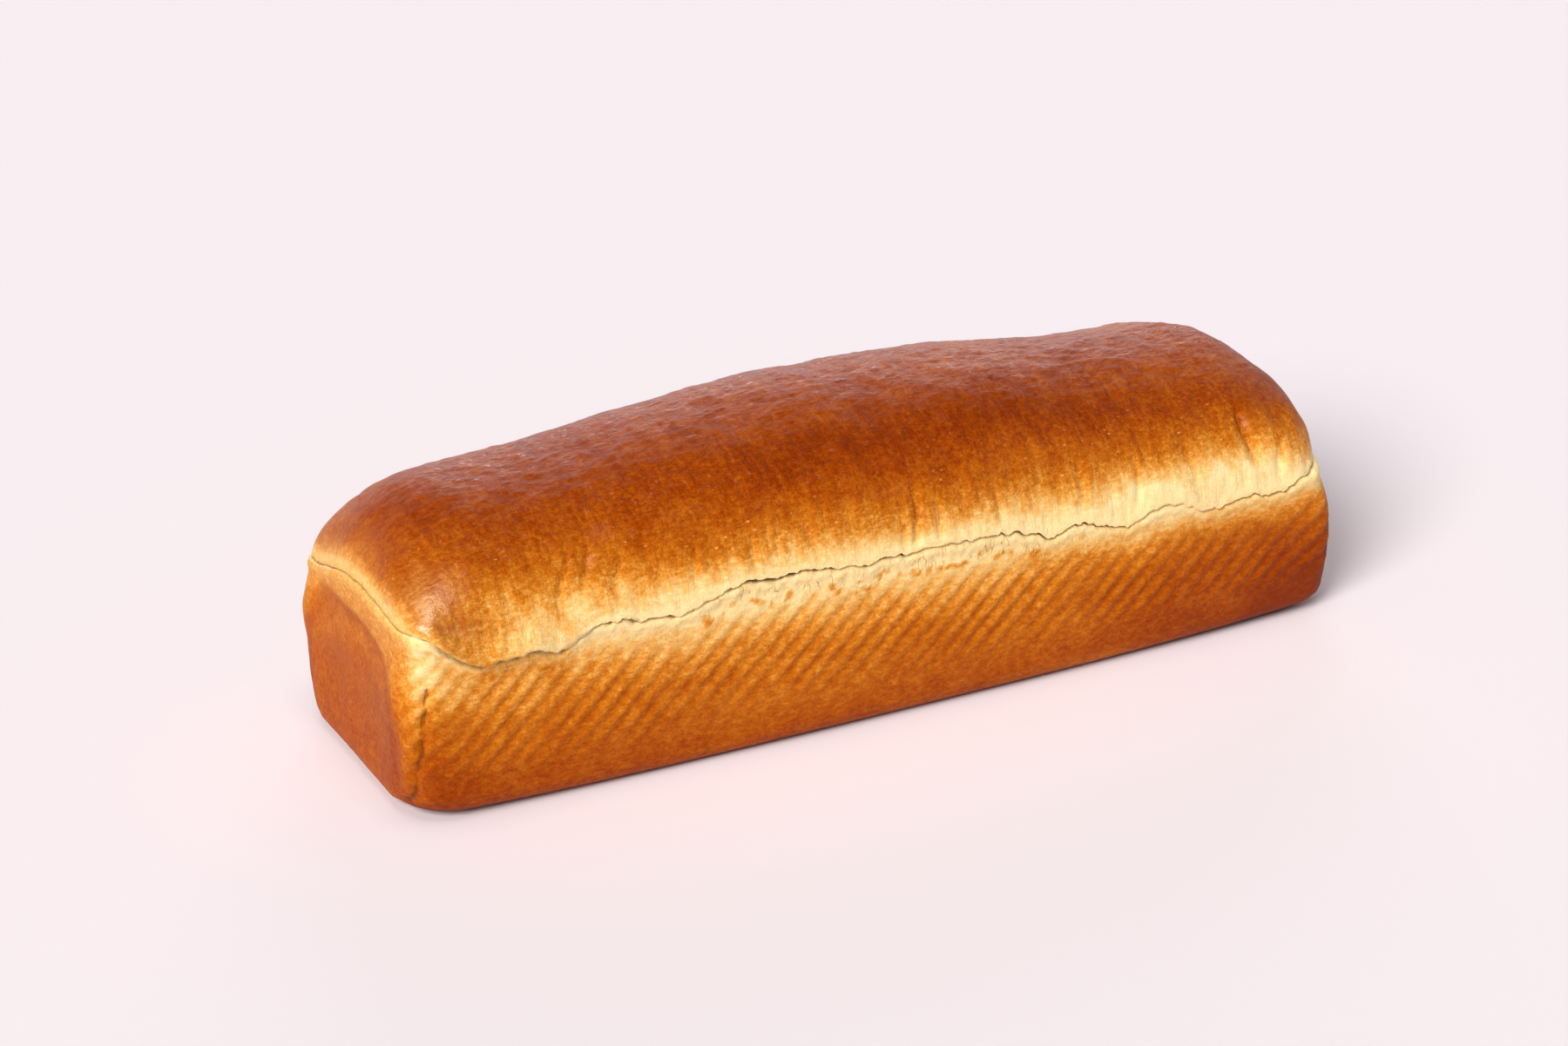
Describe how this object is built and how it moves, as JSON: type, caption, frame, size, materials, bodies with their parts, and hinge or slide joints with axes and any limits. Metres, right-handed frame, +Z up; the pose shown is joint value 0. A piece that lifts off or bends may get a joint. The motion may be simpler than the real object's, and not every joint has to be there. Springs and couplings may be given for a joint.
{
  "type": "tin loaf",
  "caption": "Long tin loaf: a ribbed, straight-sided lower part, a torn break line all round and a domed, browned crown.",
  "frame": {"origin": "centre of the loaf's box in plan, on the flat bottom it rests on", "axes": "+X along the loaf toward its fuller right end, -Y toward the front long side, +Z up out of the crown"},
  "size_m": [0.4162, 0.13, 0.1234],
  "materials": {
    "crust": "matte"
  },
  "bodies": {
    "root": {"loaf": "crust"}
  },
  "joints": []
}
